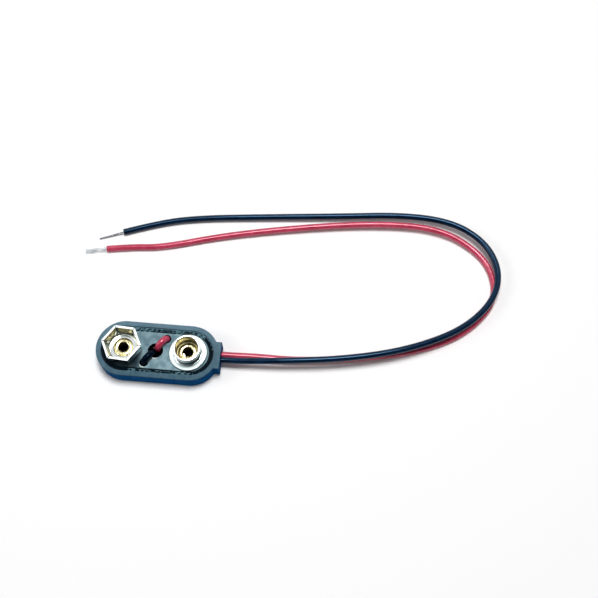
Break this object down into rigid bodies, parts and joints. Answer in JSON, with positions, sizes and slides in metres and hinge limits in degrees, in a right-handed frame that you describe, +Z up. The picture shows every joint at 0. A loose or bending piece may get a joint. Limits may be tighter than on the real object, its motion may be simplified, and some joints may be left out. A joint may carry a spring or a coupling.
{
  "type": "battery snap connector",
  "caption": "Moulded snap connector for a rectangular snap-terminal battery, with a leaf socket, a stud and two free leads looped beside it.",
  "frame": {"origin": "on the surface the connector lies on, under the middle of the casing and its exit tab", "axes": "+X from the socket to the end the leads leave, +Y towards the free ends of the leads, +Z up along the terminals"},
  "size_m": [0.0861, 0.0415, 0.0066],
  "materials": {
    "casing_vinyl": "soft satin vinyl, matte and paler where it was heat pressed",
    "plate_vinyl": "matte, faintly mottled",
    "nickel_plate": "bright drawn sheet with a light haze",
    "rivet_brass": "bright, thinly plated",
    "red_insulation": "smooth soft vinyl",
    "black_insulation": "smooth soft vinyl",
    "tinned_copper": "tinned strands",
    "solder": "smooth"
  },
  "bodies": {
    "root": {"casing": "casing_vinyl", "contact_plate": "plate_vinyl", "socket_shell": "nickel_plate", "stud_shell": "nickel_plate", "socket_rivet": "rivet_brass", "stud_rivet": "rivet_brass", "red_lead": "red_insulation", "red_lead_anchor": "red_insulation", "black_lead": "black_insulation", "black_lead_anchor": "black_insulation", "red_conductor_end": "tinned_copper", "black_conductor_end": "tinned_copper", "red_inner_conductor": "tinned_copper", "black_inner_conductor": "tinned_copper", "socket_solder": "solder", "stud_solder": "solder"}
  },
  "joints": []
}
